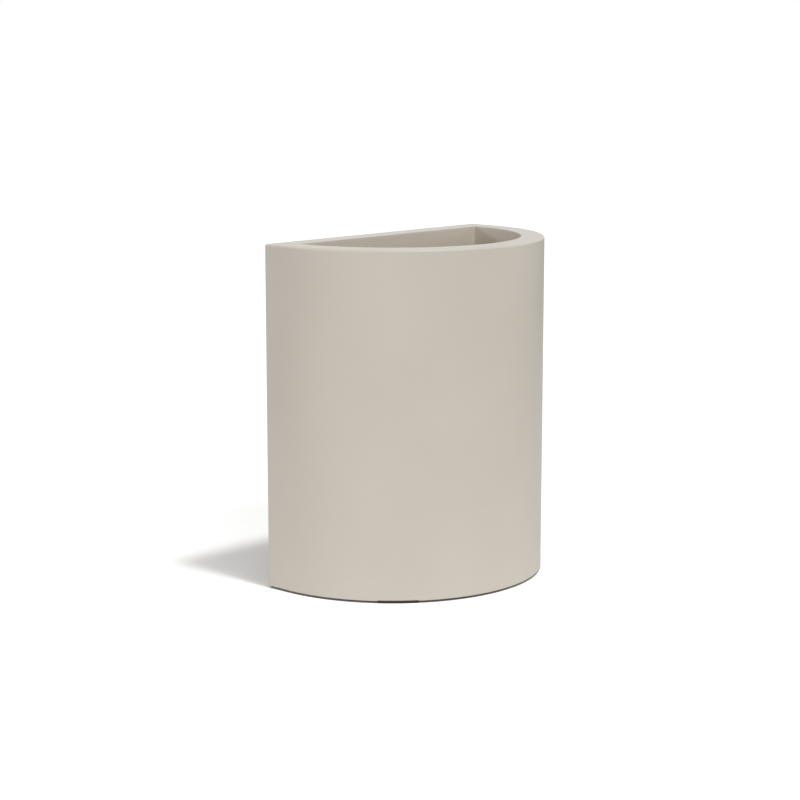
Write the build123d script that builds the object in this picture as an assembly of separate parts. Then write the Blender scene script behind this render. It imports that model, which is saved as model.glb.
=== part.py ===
from build123d import *
import os
import math

# Half-cylinder floor planter in millimetres: +Z up, flat back toward +Y, z = 0 on the floor

# Plan and height
width = 450.0
height = 503.0
sheet = 3.0
back_corner_radius = 4.0
foot_stand = 3.0

# Rim and the return that stands down from its inner edge
rim_width = 35.0
rim_thickness = 4.0
rim_outer_round = 3.0
rim_inner_round = 1.0
return_depth = 30.0
return_thickness = 3.0
return_corner_radius = 3.0
return_lip = 14.0
straight_past_rim = 5.0

# Shell ends folded on to the back
shell_lip = 20.0

# Floor and the ledges under it
floor_underside = 40.0
floor_thickness = 3.0
floor_edge_gap = 0.5
ledge_depth = 20.0
ledge_bar = 4.0
back_angle_leg = 22.0
back_angle_thickness = 3.0
back_angle_end_gap = 12.0

# Drain holes and the bungs that close them
drain_radius = 10.0
drain_fit = 0.05
drain_from_side = 105.0
drain_y = 8.0
plug_head_radius = 14.5
plug_head_thickness = 3.5
plug_head_round = 1.2
plug_shank = 8.0
plug_nose = 4.0
plug_nose_radius = 7.5
plug_knob_radius = 5.0
plug_knob_height = 9.0
plug_knob_round = 2.0

# Foot ring, pads and the rivets that hold them
foot_ring_thickness = 3.0
pad_thickness = 4.0
pad_length = 58.0
pad_width = 25.0
pad_edge_inset = 0.3
pad_angle = 45.0
pad_back_from_side = 75.0
pad_notch_gap = 0.6
rivet_inset = 14.0
rivet_spacing = 34.0
rivet_radius = 2.4
rivet_hole_gap = 0.1
rivet_head_radius = 4.2
rivet_head_thickness = 1.4
rivet_head_sink = 0.8
rivet_bulb_radius = 3.4
rivet_bulb_height = 2.2
counterbore_gap = 0.5

# Derived positions
side_straight = rim_width + straight_past_rim
depth = width / 2 + side_straight
back_y = depth / 2
arc_y = back_y - side_straight
shell_top = height - rim_thickness
floor_top = floor_underside + floor_thickness
drain_x = width / 2 - drain_from_side
pad_back_x = width / 2 - pad_back_from_side
overcut = 1.0


# Closed D outline, drawn inside the planter's outer face by the inset
def plan(inset, corner=0.0):
    half = width / 2 - inset
    back = back_y - inset
    sides = Polyline((-half, arc_y), (-half, back), (half, back), (half, arc_y))
    front = ThreePointArc((half, arc_y), (0, arc_y - half), (-half, arc_y))
    face = make_face(sides.edges() + front.edges())
    if corner > 0:
        corners = face.vertices().sort_by(Axis.Y)[-2:]
        face = fillet(corners, corner)
    return face


# Prism on a plan face between two heights
def prism(face, bottom, top):
    return Pos(0, 0, bottom) * extrude(face, amount=top - bottom)


# Block between two corners
def block(x0, x1, y0, y1, z0, z1):
    middle = Pos((x0 + x1) / 2, (y0 + y1) / 2, (z0 + z1) / 2)
    return middle * Box(x1 - x0, y1 - y0, z1 - z0)


# Part of a ring round the front curve, square ended, centred on an angle from straight ahead
def arc_block(angle, length, outer, inner, z0, z1):
    half_angle = math.degrees(length / 2 / (width / 2))
    middle = angle - 90
    start = middle - half_angle
    outside = CenterArc((0, arc_y), outer, start, 2 * half_angle)
    inside = CenterArc((0, arc_y), inner, start, 2 * half_angle)
    ends = [Line(outside @ 0, inside @ 0), Line(outside @ 1, inside @ 1)]
    face = make_face([outside, inside] + ends)
    return prism(face, z0, z1)


# Rivet centres: two for each pad
def front_rivets(angle):
    radius = width / 2 - rivet_inset
    turn = math.degrees(rivet_spacing / 2 / radius)
    spots = []
    for side in (-1, 1):
        around = math.radians(angle - 90 + side * turn)
        spots.append((radius * math.cos(around), arc_y + radius * math.sin(around)))
    return spots


def back_rivets(x):
    y = back_y - rivet_inset
    return [(x - rivet_spacing / 2, y), (x + rivet_spacing / 2, y)]


def all_rivets():
    front = front_rivets(-pad_angle) + front_rivets(pad_angle)
    return front + back_rivets(-pad_back_x) + back_rivets(pad_back_x)


# Notches in the lower edge that the pads are let into
def pad_notches():
    length = pad_length + 2 * pad_notch_gap
    outer = width / 2 + overcut
    inner = width / 2 - sheet - overcut
    low = foot_stand - overcut
    cuts = []
    for angle in (-pad_angle, pad_angle):
        cuts.append(arc_block(angle, length, outer, inner, low, pad_thickness))
    for x in (-pad_back_x, pad_back_x):
        near = back_y - sheet - overcut
        far = back_y + overcut
        cuts.append(block(x - length / 2, x + length / 2, near, far, low, pad_thickness))
    return cuts


# Half width of the opening left between the shell's folded ends
def back_opening():
    return width / 2 - shell_lip


# Rolled front with its ends folded round the back corners
def make_front_shell():
    ring = plan(0, back_corner_radius) - plan(sheet, back_corner_radius - sheet)
    shell = prism(ring, foot_stand, shell_top)
    half = back_opening()
    shell -= block(-half, half, back_y - sheet - overcut, back_y + overcut, 0, height)
    for cut in pad_notches():
        shell -= cut
    return shell


# Flat sheet between the folded ends
def make_back_panel():
    half = back_opening()
    panel = block(-half, half, back_y - sheet, back_y, foot_stand, shell_top)
    for cut in pad_notches():
        panel -= cut
    return panel


# Flat ring on top, outer edge rounded, inner edge eased
def make_rim_plate():
    ring = plan(0, back_corner_radius) - plan(rim_width, return_corner_radius)
    rim = prism(ring, shell_top, height)
    top = rim.faces().sort_by(Axis.Z)[-1]
    rim = fillet(top.outer_wire().edges(), rim_outer_round)
    top = rim.faces().sort_by(Axis.Z)[-1]
    return fillet(top.inner_wires()[0].edges(), rim_inner_round)


# Half width of the flat strip between the return's corner bends
def return_opening():
    return width / 2 - rim_width - return_lip


# Return round the curve, with both corner bends
def make_rim_return_front():
    hidden = rim_width - return_thickness
    outer = plan(hidden, return_corner_radius + return_thickness)
    ring = outer - plan(rim_width, return_corner_radius)
    band = prism(ring, shell_top - return_depth, shell_top)
    half = return_opening()
    near = back_y - rim_width - overcut
    far = back_y - hidden + overcut
    return band - block(-half, half, near, far, 0, height)


# Return along the back
def make_rim_return_back():
    half = return_opening()
    near = back_y - rim_width
    far = near + return_thickness
    return block(-half, half, near, far, shell_top - return_depth, shell_top)


# Rolled flat bar under the floor's curved edge
def make_floor_ledge_front():
    ring = plan(sheet) - plan(sheet + ledge_bar)
    bar = prism(ring, floor_underside - ledge_depth, floor_underside)
    near = back_y - side_straight + ledge_bar
    return bar - block(-width, width, near, depth, 0, height)


# Angle under the floor's back edge
def make_floor_ledge_back():
    half = width / 2 - sheet - back_angle_end_gap
    far = back_y - sheet
    low = floor_underside - back_angle_leg
    upright = block(-half, half, far - back_angle_thickness, far, low, floor_underside)
    shelf_low = floor_underside - back_angle_thickness
    shelf = block(-half, half, far - back_angle_leg, far, shelf_low, floor_underside)
    return upright + shelf


# Drain hole centres, left to right
def drains():
    return [(-drain_x, drain_y), (0, drain_y), (drain_x, drain_y)]


# Floor that carries the soil
def make_floor_plate():
    face = plan(sheet + floor_edge_gap, back_corner_radius)
    plate = prism(face, floor_underside, floor_top)
    for x, y in drains():
        plate -= Pos(x, y, floor_underside) * Cylinder(drain_radius, 4 * floor_thickness)
    return plate


# Rubber bung: nose, shank, head that rests on the floor, knob to pull it by
def make_drain_plug(x, y):
    radius = drain_radius - drain_fit
    shank = Cylinder(radius, plug_shank, align=(Align.CENTER, Align.CENTER, Align.MAX))
    nose = Cone(plug_nose_radius, radius, plug_nose, align=(Align.CENTER, Align.CENTER, Align.MAX))
    head = Cylinder(plug_head_radius, plug_head_thickness, align=(Align.CENTER, Align.CENTER, Align.MIN))
    head = fillet(head.edges().sort_by(Axis.Z)[-1], plug_head_round)
    knob = Cylinder(plug_knob_radius, plug_knob_height, align=(Align.CENTER, Align.CENTER, Align.MIN))
    knob = fillet(knob.edges().sort_by(Axis.Z)[-1], plug_knob_round)
    plug = shank + Pos(0, 0, -plug_shank) * nose + head
    plug += Pos(0, 0, plug_head_thickness) * knob
    return Pos(x, y, floor_top) * plug


# Holes for the rivets through a pad or the ring
def rivet_holes(spots, bottom, top):
    radius = rivet_radius + rivet_hole_gap
    return [Pos(x, y, (bottom + top) / 2) * Cylinder(radius, top - bottom) for x, y in spots]


# Flat ring inside the lower edge, its inner edge right under the rim's
def make_foot_ring():
    ring = plan(sheet, back_corner_radius - sheet) - plan(rim_width)
    plate = prism(ring, pad_thickness, pad_thickness + foot_ring_thickness)
    for hole in rivet_holes(all_rivets(), 0, 2 * (pad_thickness + foot_ring_thickness)):
        plate -= hole
    return plate


# Pad drilled and counterbored for its rivets
def drilled(pad, spots):
    for hole in rivet_holes(spots, -overcut, pad_thickness + overcut):
        pad -= hole
    sink = rivet_head_sink + rivet_head_thickness
    for x, y in spots:
        pad -= Pos(x, y, 0) * Cylinder(rivet_head_radius + counterbore_gap, 2 * sink)
    return pad


def make_front_pad(angle):
    outer = width / 2 - pad_edge_inset
    pad = arc_block(angle, pad_length, outer, outer - pad_width, 0, pad_thickness)
    return drilled(pad, front_rivets(angle))


def make_back_pad(x):
    far = back_y - pad_edge_inset
    half = pad_length / 2
    pad = block(x - half, x + half, far - pad_width, far, 0, pad_thickness)
    return drilled(pad, back_rivets(x))


# Rivet: head in the pad's counterbore, shank, bulb on top of the ring
def make_rivet(x, y):
    low = (Align.CENTER, Align.CENTER, Align.MIN)
    head_top = rivet_head_sink + rivet_head_thickness
    ring_top = pad_thickness + foot_ring_thickness
    head = Pos(0, 0, rivet_head_sink) * Cylinder(rivet_head_radius, rivet_head_thickness, align=low)
    shank = Pos(0, 0, head_top) * Cylinder(rivet_radius, ring_top - head_top, align=low)
    bulb = Pos(0, 0, ring_top) * Cylinder(rivet_bulb_radius, rivet_bulb_height, align=low)
    return Pos(x, y, 0) * (head + shank + bulb)


def make_foot_rivets():
    return Compound(children=[make_rivet(x, y) for x, y in all_rivets()])


nodes = {
    "front_shell": make_front_shell(),
    "back_panel": make_back_panel(),
    "rim_plate": make_rim_plate(),
    "rim_return_front": make_rim_return_front(),
    "rim_return_back": make_rim_return_back(),
    "floor_ledge_front": make_floor_ledge_front(),
    "floor_ledge_back": make_floor_ledge_back(),
    "floor_plate": make_floor_plate(),
    "foot_ring": make_foot_ring(),
    "foot_pad_front_left": make_front_pad(-pad_angle),
    "foot_pad_front_right": make_front_pad(pad_angle),
    "foot_pad_back_left": make_back_pad(-pad_back_x),
    "foot_pad_back_right": make_back_pad(pad_back_x),
    "foot_rivets": make_foot_rivets(),
}

plug_names = ("drain_plug_left", "drain_plug_middle", "drain_plug_right")
for name, spot in zip(plug_names, drains()):
    nodes[name] = make_drain_plug(*spot)

os.makedirs("parts", exist_ok=True)
for name, shape in nodes.items():
    export_step(shape, "parts/" + name + ".step")
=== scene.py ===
import math

import bmesh
import bpy
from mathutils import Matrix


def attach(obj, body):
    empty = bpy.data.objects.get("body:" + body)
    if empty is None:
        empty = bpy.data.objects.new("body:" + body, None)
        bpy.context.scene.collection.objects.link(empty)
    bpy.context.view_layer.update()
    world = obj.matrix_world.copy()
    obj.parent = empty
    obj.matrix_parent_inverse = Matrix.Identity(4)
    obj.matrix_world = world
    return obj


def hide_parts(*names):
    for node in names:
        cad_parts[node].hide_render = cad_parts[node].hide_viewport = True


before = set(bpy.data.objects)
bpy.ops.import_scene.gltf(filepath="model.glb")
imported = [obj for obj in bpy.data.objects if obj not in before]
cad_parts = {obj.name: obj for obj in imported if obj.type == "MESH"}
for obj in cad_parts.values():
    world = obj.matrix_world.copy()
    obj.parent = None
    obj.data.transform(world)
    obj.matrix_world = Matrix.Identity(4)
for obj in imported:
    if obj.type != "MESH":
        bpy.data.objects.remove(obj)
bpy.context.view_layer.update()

# Camera: the photograph looks at the planter from its front left, from a little above the
# rim, through a long lens about three metres away.
camera_place = (-2.1798, -1.9497, 0.7840)
view_drop = 10.07
view_bearing = -47.07
film_width = 36.0
lens_length = 90.54
camera_data = bpy.data.cameras.new("photo_camera")
camera_data.sensor_width = film_width
camera_data.lens = lens_length
camera = bpy.data.objects.new("photo_camera", camera_data)
camera.location = camera_place
camera.rotation_euler = (math.radians(90.0 - view_drop), 0.0, math.radians(view_bearing))
bpy.context.scene.collection.objects.link(camera)
bpy.context.scene.camera = camera
bpy.context.scene.view_settings.view_transform = "Standard"

# Studio: white paper over two metres wide lies on a greyer floor. A high lamp in front
# throws the shadow, wide soft lamps fill the sides, and a low lamp behind, which gives no
# gleam, lights the inside. The camera sees floor and background as white.
floor_reach = 9.0
floor_squares = 8
floor_drop = 0.0002
paper_edge_near = 1.05
paper_edge_far = 1.35
paper_tone = 0.80
floor_tone = 0.25
shown_tone = 1.52
floor_mesh = bpy.data.meshes.new("studio_floor")
floor_bm = bmesh.new()
bmesh.ops.create_grid(floor_bm, x_segments=floor_squares, y_segments=floor_squares, size=floor_reach)
floor_bm.to_mesh(floor_mesh)
floor_bm.free()
studio_floor = bpy.data.objects.new("studio_floor", floor_mesh)
studio_floor.location = (0.0, 0.0, -floor_drop)
studio_floor.rotation_euler = (0.0, 0.0, math.radians(view_bearing))
bpy.context.scene.collection.objects.link(studio_floor)

floor_paint = bpy.data.materials.new("studio_floor_paint")
floor_paint.use_nodes = True
nodes = floor_paint.node_tree.nodes
links = floor_paint.node_tree.links
nodes.clear()
seen = nodes.new("ShaderNodeLightPath")
spot = nodes.new("ShaderNodeTexCoord")
across = nodes.new("ShaderNodeSeparateXYZ")
from_middle = nodes.new("ShaderNodeMath")
from_middle.operation = "ABSOLUTE"
paper_edge = nodes.new("ShaderNodeMapRange")
paper_edge.inputs["From Min"].default_value = paper_edge_near
paper_edge.inputs["From Max"].default_value = paper_edge_far
paper_edge.inputs["To Min"].default_value = paper_tone
paper_edge.inputs["To Max"].default_value = floor_tone
lit_floor = nodes.new("ShaderNodeBsdfDiffuse")
shown_floor = nodes.new("ShaderNodeBsdfDiffuse")
shown_floor.inputs["Color"].default_value = (shown_tone, shown_tone, shown_tone, 1.0)
either = nodes.new("ShaderNodeMixShader")
out = nodes.new("ShaderNodeOutputMaterial")
links.new(spot.outputs["Object"], across.inputs["Vector"])
links.new(across.outputs["X"], from_middle.inputs[0])
links.new(from_middle.outputs[0], paper_edge.inputs["Value"])
links.new(paper_edge.outputs["Result"], lit_floor.inputs["Color"])
links.new(seen.outputs["Is Camera Ray"], either.inputs[0])
links.new(lit_floor.outputs[0], either.inputs[1])
links.new(shown_floor.outputs[0], either.inputs[2])
links.new(either.outputs[0], out.inputs["Surface"])
floor_mesh.materials.append(floor_paint)

room_light = 0.185
white_background = 1.0
world = bpy.data.worlds.new("studio_light")
world.use_nodes = True
nodes = world.node_tree.nodes
links = world.node_tree.links
nodes.clear()
seen = nodes.new("ShaderNodeLightPath")
camera_or_gloss = nodes.new("ShaderNodeMath")
camera_or_gloss.operation = "MAXIMUM"
any_seen = nodes.new("ShaderNodeMath")
any_seen.operation = "MAXIMUM"
level = nodes.new("ShaderNodeMapRange")
level.inputs["To Min"].default_value = room_light
level.inputs["To Max"].default_value = white_background
even_light = nodes.new("ShaderNodeBackground")
even_light.inputs["Color"].default_value = (1.0, 1.0, 1.0, 1.0)
out = nodes.new("ShaderNodeOutputWorld")
links.new(seen.outputs["Is Camera Ray"], camera_or_gloss.inputs[0])
links.new(seen.outputs["Is Glossy Ray"], camera_or_gloss.inputs[1])
links.new(camera_or_gloss.outputs[0], any_seen.inputs[0])
links.new(seen.outputs["Is Transmission Ray"], any_seen.inputs[1])
links.new(any_seen.outputs[0], level.inputs["Value"])
links.new(level.outputs["Result"], even_light.inputs["Strength"])
links.new(even_light.outputs[0], out.inputs["Surface"])
bpy.context.scene.world = world

lamps = (
    ("high_front_lamp", 0.97, 0.0, 67.0, 7.0, True),
    ("wide_front_lamp", 0.53, 5.0, 40.0, 30.0, True),
    ("wide_camera_side_lamp", 0.69, 40.0, 20.0, 40.0, True),
    ("wide_right_lamp", 0.46, -60.0, 20.0, 40.0, True),
    ("wide_left_lamp", 0.38, 90.0, 12.0, 40.0, True),
    ("low_back_lamp", 0.61, 130.0, 13.0, 10.0, False),
)
for lamp_name, strength, bearing, height, width, gleams in lamps:
    lamp_data = bpy.data.lights.new(lamp_name, "SUN")
    lamp_data.energy = strength
    lamp_data.angle = math.radians(width)
    lamp = bpy.data.objects.new(lamp_name, lamp_data)
    lamp.rotation_euler = (math.radians(90.0 - height), 0.0, math.radians(-bearing))
    lamp.visible_glossy = gleams
    bpy.context.scene.collection.objects.link(lamp)

# Front shell: 3 mm sheet rolled into a half cylinder, its ends folded round the back
# corners, with shallow notches cut in its lower edge for the rubber pads. It is powder
# coated in a warm beige after welding, so no seam shows.
half_width = 0.225
straight_side = 0.040
back_y = (half_width + straight_side) / 2
arc_y = back_y - straight_side
sheet = 0.003
rim_top = 0.503
rim_thickness = 0.004
rim_underside = rim_top - rim_thickness
shell_bottom = 0.003
shell_corner = 0.004
folded_end = 0.020
lip_x = half_width - folded_end
pad_length = 0.058
pad_play = 0.0006
pad_bearings = (225.0, 315.0)
notch_top = 0.004
cut_edge = 0.0005
edge_middle = 0.3 * cut_edge
front_steps = 120
corner_steps = 6
same_spot = 0.000001
joined_within = 0.000002
sharp_turn = 50.0


def arc_stations(middle, radius, angles):
    spots = []
    for angle in angles:
        out_x = math.cos(math.radians(angle))
        out_y = math.sin(math.radians(angle))
        spots.append((middle[0] + radius * out_x, middle[1] + radius * out_y, out_x, out_y))
    return spots


def spread(start, end, steps):
    return [start + (end - start) * i / steps for i in range(steps + 1)]


def plan_stations(inset, corner, end_x, extra=()):
    half = half_width - inset
    back = back_y - inset
    around = sorted(set(spread(180.0, 360.0, front_steps)) | set(extra))
    left = arc_stations((corner - half, back - corner), corner, spread(90.0, 180.0, corner_steps))
    front = arc_stations((0.0, arc_y), half, around)
    right = arc_stations((half - corner, back - corner), corner, spread(0.0, 90.0, corner_steps))
    return [(-end_x, back, 0.0, 1.0)] + left + front + right + [(end_x, back, 0.0, 1.0)]


def inward(station, inset, height):
    x, y, out_x, out_y = station
    return (x - out_x * inset, y - out_y * inset, height)


def loft(name, loops, joined):
    bm = bmesh.new()
    rows = [[bm.verts.new(point) for point in loop] for loop in loops]
    pairs = list(zip(rows, rows[1:]))
    if joined:
        pairs.append((rows[-1], rows[0]))
    else:
        bm.faces.new(rows[0])
        bm.faces.new(rows[-1])
    count = len(rows[0])
    for low, high in pairs:
        for i in range(count):
            j = (i + 1) % count
            bm.faces.new((low[i], low[j], high[j], high[i]))
    bmesh.ops.remove_doubles(bm, verts=bm.verts, dist=joined_within)
    bmesh.ops.dissolve_degenerate(bm, edges=bm.edges, dist=joined_within)
    bmesh.ops.recalc_face_normals(bm, faces=bm.faces)
    mesh = bpy.data.meshes.new(name)
    bm.to_mesh(mesh)
    bm.free()
    mesh.shade_smooth()
    mesh.set_sharp_from_angle(angle=math.radians(sharp_turn))
    piece = bpy.data.objects.new(name, mesh)
    bpy.context.scene.collection.objects.link(piece)
    even = piece.modifiers.new("flat_faces", "WEIGHTED_NORMAL")
    even.keep_sharp = True
    return piece


def wall_section(station, bottom):
    rows = ((0.0, notch_top + cut_edge), (0.0, bottom + cut_edge))
    rows += ((edge_middle, bottom + edge_middle), (cut_edge, bottom))
    rows += ((sheet - cut_edge, bottom), (sheet - edge_middle, bottom + edge_middle))
    rows += ((sheet, bottom + cut_edge), (sheet, notch_top + cut_edge))
    rows += ((sheet, rim_underside), (0.0, rim_underside))
    return [inward(station, inset, height) for inset, height in rows]


def wall(name, stations, notches):
    loops = []
    for station, place in stations:
        inside = any(low < place < high for low, high in notches)
        at_start = any(abs(place - low) < same_spot for low, high in notches)
        at_end = any(abs(place - high) < same_spot for low, high in notches)
        if at_start:
            loops.append(wall_section(station, shell_bottom))
        if inside or at_start or at_end:
            loops.append(wall_section(station, notch_top))
        if at_end or not (inside or at_start):
            loops.append(wall_section(station, shell_bottom))
    return loft(name, loops, joined=False)


notch_half = math.degrees((pad_length / 2 + pad_play) / half_width)
front_notches = [(bearing - notch_half, bearing + notch_half) for bearing in pad_bearings]
notch_ends = [end for notch in front_notches for end in notch]
front_stations = []
for spot in plan_stations(0.0, shell_corner, lip_x, notch_ends):
    bearing = math.degrees(math.atan2(spot[3], spot[2])) % 360.0
    front_stations.append((spot, bearing if bearing > 180.0 else 0.0))

noise_low = 0.3
noise_high = 0.7


def noise(tree, place, scale, detail):
    node = tree.nodes.new("ShaderNodeTexNoise")
    node.inputs["Scale"].default_value = scale
    node.inputs["Detail"].default_value = detail
    tree.links.new(place, node.inputs["Vector"])
    return node.outputs["Fac"]


def tones(tree, value, dark, light, socket):
    node = tree.nodes.new("ShaderNodeValToRGB")
    node.color_ramp.elements[0].position = noise_low
    node.color_ramp.elements[0].color = (*dark, 1.0)
    node.color_ramp.elements[1].position = noise_high
    node.color_ramp.elements[1].color = (*light, 1.0)
    tree.links.new(value, node.inputs["Fac"])
    tree.links.new(node.outputs["Color"], socket)


def between(tree, value, low, high, socket):
    node = tree.nodes.new("ShaderNodeMapRange")
    node.inputs["From Min"].default_value = noise_low
    node.inputs["From Max"].default_value = noise_high
    node.inputs["To Min"].default_value = low
    node.inputs["To Max"].default_value = high
    tree.links.new(value, node.inputs["Value"])
    tree.links.new(node.outputs["Result"], socket)


def bumps(tree, layers, socket):
    before = None
    for value, depth in layers:
        node = tree.nodes.new("ShaderNodeBump")
        node.inputs["Strength"].default_value = 1.0
        node.inputs["Distance"].default_value = depth
        tree.links.new(value, node.inputs["Height"])
        if before:
            tree.links.new(before, node.inputs["Normal"])
        before = node.outputs["Normal"]
    tree.links.new(before, socket)


def finish(name, mottle, dark, light, sheen, roughness, grains):
    material = bpy.data.materials.new(name)
    material.use_nodes = True
    tree = material.node_tree
    shader = tree.nodes["Principled BSDF"]
    place = tree.nodes.new("ShaderNodeTexCoord").outputs["Object"]
    layers = [(noise(tree, place, scale, detail), depth) for scale, detail, depth in grains]
    tones(tree, noise(tree, place, *mottle), dark, light, shader.inputs["Base Color"])
    between(tree, noise(tree, place, *sheen), *roughness, shader.inputs["Roughness"])
    bumps(tree, layers, shader.inputs["Normal"])
    return material


coat = finish(
    "beige_powder_coat",
    mottle=(7.0, 3.0),
    dark=(0.644, 0.594, 0.521),
    light=(0.668, 0.617, 0.542),
    sheen=(160.0, 2.0),
    roughness=(0.355, 0.405),
    grains=((320.0, 2.0, 0.000012), (1500.0, 3.0, 0.000012)),
)
front_shell = wall("front_shell_skin", front_stations, front_notches)
front_shell.data.materials.append(coat)
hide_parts("front_shell")
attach(front_shell, "planter")

# Back panel: flat 3 mm sheet between the shell's folded ends, welded along both and
# ground flush, with the same notches in its lower edge for the two back pads.
back_pad_x = 0.150
back_half = pad_length / 2 + pad_play
back_notches = [(x - back_half, x + back_half) for x in (-back_pad_x, back_pad_x)]
back_places = sorted([-lip_x, 0.0, lip_x] + [end for notch in back_notches for end in notch])
back_stations = [((x, back_y, 0.0, 1.0), x) for x in back_places]
back_panel = wall("back_panel_skin", back_stations, back_notches)
back_panel.data.materials.append(coat)
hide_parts("back_panel")
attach(back_panel, "planter")

# Rim plate: a flat ring 4 mm thick and 35 mm wide, cut to the plan and welded on top of
# the walls. Its outer edge is ground to a 3 mm round, its inner edge only eased.
rim_width = 0.035
rim_round = 0.003
rim_ease = 0.001
opening_corner = 0.003
round_steps = 8
outer_path = plan_stations(0.0, shell_corner, lip_x)
inner_path = plan_stations(rim_width, opening_corner, lip_x - rim_width)
profile = [(outer_path, 0.0, rim_underside)]
for turn in spread(0.0, 90.0, round_steps):
    inset = rim_round * (1.0 - math.cos(math.radians(turn)))
    lift = rim_round * math.sin(math.radians(turn))
    profile.append((outer_path, inset, rim_top - rim_round + lift))
for turn in spread(90.0, 0.0, round_steps):
    inset = rim_ease * (math.cos(math.radians(turn)) - 1.0)
    lift = rim_ease * math.sin(math.radians(turn))
    profile.append((inner_path, inset, rim_top - rim_ease + lift))
profile.append((inner_path, 0.0, rim_underside))
rim_loops = []
for path, inset, height in profile:
    rim_loops.append([inward(station, inset, height) for station in path])
rim_plate = loft("rim_plate_skin", rim_loops, joined=True)
rim_plate.data.materials.append(coat)
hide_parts("rim_plate")
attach(rim_plate, "planter")

# Rim return: a 30 mm strip standing down from the rim's inner edge, bent round the back
# corners and closed along the back by a straight strip. Both are welded on and coated with
# the rest. Inside the planter the coat is a little duller, and its colour is made darker and
# warmer as painted shade and painted warm bounce light of the hollow.
return_depth = 0.030
return_thickness = 0.003
return_bend_reach = 0.014
return_end_x = half_width - rim_width - return_bend_reach
return_low = rim_underside - return_depth


def return_section(station):
    rows = ((0.0, rim_underside), (0.0, return_low + cut_edge), (-cut_edge, return_low))
    rows += ((cut_edge - return_thickness, return_low), (-return_thickness, return_low + cut_edge))
    rows += ((-return_thickness, rim_underside),)
    return [inward(station, inset, height) for inset, height in rows]


# The inside coat is the outside coat made darker and warmer: painted shade and painted warm bounce
# light of the deep hollow.
inside_coat_with_painted_shade = finish(
    "inside_coat_painted_shade",
    mottle=(11.0, 4.0),
    dark=(0.628, 0.566, 0.478),
    light=(0.664, 0.600, 0.508),
    sheen=(120.0, 2.0),
    roughness=(0.50, 0.62),
    grains=((320.0, 2.0, 0.00002), (1500.0, 3.0, 0.000012)),
)
return_path = plan_stations(rim_width, opening_corner, return_end_x)
return_front = loft("rim_return_front_skin", [return_section(s) for s in return_path], joined=False)
back_run = [(x, back_y - rim_width, 0.0, 1.0) for x in (-return_end_x, 0.0, return_end_x)]
return_back = loft("rim_return_back_skin", [return_section(s) for s in back_run], joined=False)
for piece, node in ((return_front, "rim_return_front"), (return_back, "rim_return_back")):
    piece.data.materials.append(inside_coat_with_painted_shade)
    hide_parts(node)
    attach(piece, "planter")

# Floor and its ledges: a rolled flat bar round the curve and an angle along the back carry
# the raised floor plate. All are coated with the rest, in the duller coat of the inside, whose
# colour is darkened as painted shade.
eased_edge = 0.0003
ease_steps = 2
closed_seam = 0.00001


def dress(node_name, material, edge):
    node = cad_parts[node_name]
    node.data.materials.clear()
    node.data.materials.append(material)
    seam = node.modifiers.new("close_seams", "WELD")
    seam.merge_threshold = closed_seam
    ease = node.modifiers.new("eased_edges", "BEVEL")
    ease.width = edge
    ease.segments = ease_steps
    ease.limit_method = "ANGLE"
    ease.angle_limit = math.radians(sharp_turn)
    even = node.modifiers.new("flat_faces", "WEIGHTED_NORMAL")
    even.keep_sharp = True


for node_name in ("floor_ledge_front", "floor_ledge_back", "floor_plate"):
    dress(node_name, inside_coat_with_painted_shade, eased_edge)

# Drain bungs: moulded dark rubber, pushed down into the three drain holes. Each has a flat
# head that seals on the floor, a round knob to pull it by, and a tapered nose.
hole_radius = 0.010
bung_play = 0.00005
bung_radius = hole_radius - bung_play
floor_top = 0.043
bung_x = 0.120
bung_y = 0.008
point_radius = 0.00001
lathe_steps = 48
bung_nose = (
    (0.0, -0.0120), (0.0064, -0.0120), (0.0073, -0.0117), (0.0077, -0.0110),
    (0.0096, -0.0084), (bung_radius, -0.0078), (bung_radius, 0.0),
)
bung_head = (
    (0.0140, 0.0), (0.0145, 0.0004), (0.0145, 0.0023), (0.0142, 0.0030),
    (0.0136, 0.0034), (0.0128, 0.0035), (0.0070, 0.0035), (0.0058, 0.0037),
)
bung_knob = (
    (0.0050, 0.0044), (0.0045, 0.0060), (0.0045, 0.0085), (0.0050, 0.0100),
    (0.0050, 0.0110), (0.0045, 0.0119), (0.0034, 0.0124), (0.0, 0.0125),
)
bung_rubber = finish(
    "dark_bung_rubber",
    mottle=(60.0, 3.0),
    dark=(0.010, 0.010, 0.0098),
    light=(0.016, 0.016, 0.0155),
    sheen=(240.0, 2.0),
    roughness=(0.55, 0.72),
    grains=((900.0, 3.0, 0.00004),),
)
for side, x in (("left", -bung_x), ("middle", 0.0), ("right", bung_x)):
    loops = []
    for radius, height in bung_nose + bung_head + bung_knob:
        ring = []
        for turn in spread(0.0, 360.0, lathe_steps)[:-1]:
            ring_x = x + max(radius, point_radius) * math.cos(math.radians(turn))
            ring_y = bung_y + max(radius, point_radius) * math.sin(math.radians(turn))
            ring.append((ring_x, ring_y, floor_top + height))
        loops.append(ring)
    bung = loft("drain_bung_" + side, loops, joined=False)
    bung.data.materials.append(bung_rubber)
    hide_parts("drain_plug_" + side)
    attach(bung, "drain_plug_" + side)

# Foot ring: a flat ring welded inside the lower edge. It carries the pads and has the
# duller coat of the inside, whose colour is darkened as painted shade.
dress("foot_ring", inside_coat_with_painted_shade, eased_edge)

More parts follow.
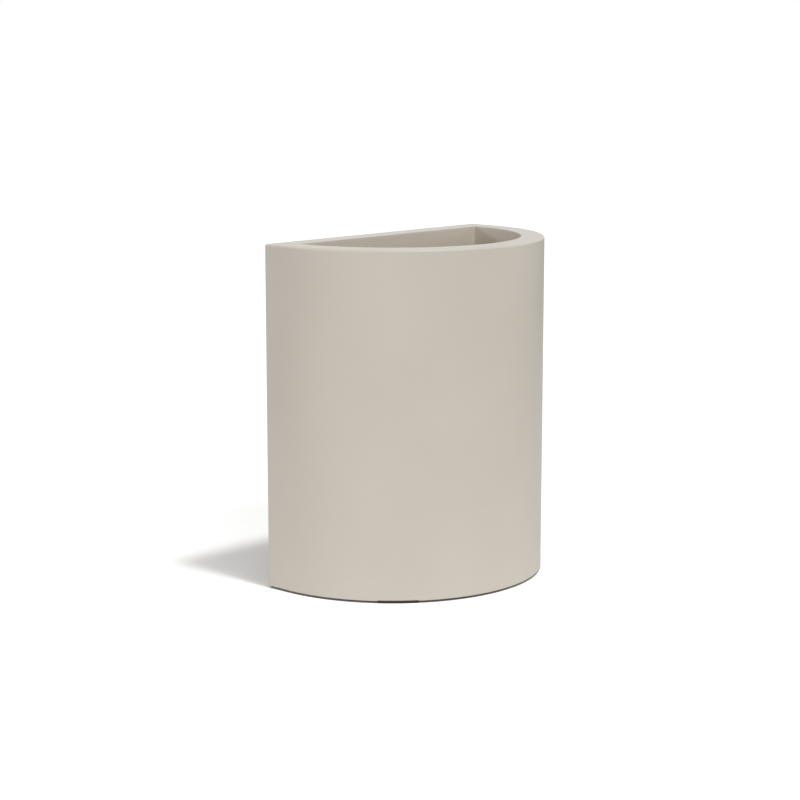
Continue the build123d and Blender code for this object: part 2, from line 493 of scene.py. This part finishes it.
# Foot pads: four strips of black rubber 4 mm thick, let 1 mm into the walls' lower edge so
# that the planter stands 3 mm clear of the ground. Cut square at both ends.
pad_rubber = finish(
    "black_pad_rubber",
    mottle=(90.0, 3.0),
    dark=(0.020, 0.020, 0.018),
    light=(0.030, 0.030, 0.027),
    sheen=(260.0, 2.0),
    roughness=(0.65, 0.80),
    grains=((1100.0, 3.0, 0.00005),),
)
for place_name in ("front_left", "front_right", "back_left", "back_right"):
    dress("foot_pad_" + place_name, pad_rubber, eased_edge)

# Foot rivets: plain aluminium blind rivets, two to each pad, their heads sunk into the pad
# and their bulbs closed down on top of the foot ring.
rivet_edge = 0.0002
rivet_metal = finish(
    "drawn_aluminium",
    mottle=(300.0, 3.0),
    dark=(0.50, 0.50, 0.51),
    light=(0.60, 0.60, 0.61),
    sheen=(700.0, 2.0),
    roughness=(0.32, 0.48),
    grains=((1600.0, 2.0, 0.00002),),
)
rivet_metal.node_tree.nodes["Principled BSDF"].inputs["Metallic"].default_value = 1.0
dress("foot_rivets", rivet_metal, rivet_edge)

# Paper under the planter: a grey sheet, darker than the paper around it, that paints shade
# into the low gap at the foot, where little light reaches. It is shown as it is lit, not
# brightened for the camera like the paper around it.
shaded_paper_inset = 0.0005
shaded_paper_height = -0.0001
# This grey is painted shade for the gap under the foot.
painted_shade_tone = 0.55
shaded_paper = bpy.data.meshes.new("studio_paper_in_shade")
shaded_bm = bmesh.new()
outline = plan_stations(shaded_paper_inset, shell_corner, lip_x)
shaded_bm.faces.new([shaded_bm.verts.new(inward(spot, 0.0, shaded_paper_height)) for spot in outline])
shaded_bm.normal_update()
shaded_bm.to_mesh(shaded_paper)
shaded_bm.free()
shaded_floor = bpy.data.objects.new("studio_paper_in_shade", shaded_paper)
bpy.context.scene.collection.objects.link(shaded_floor)
shaded_paint = bpy.data.materials.new("studio_paper_in_shade")
shaded_paint.use_nodes = True
shader = shaded_paint.node_tree.nodes["Principled BSDF"]
shader.inputs["Base Color"].default_value = (painted_shade_tone, painted_shade_tone, painted_shade_tone, 1.0)
shader.inputs["Roughness"].default_value = 1.0
shader.inputs["Specular IOR Level"].default_value = 0.0
shaded_paper.materials.append(shaded_paint)
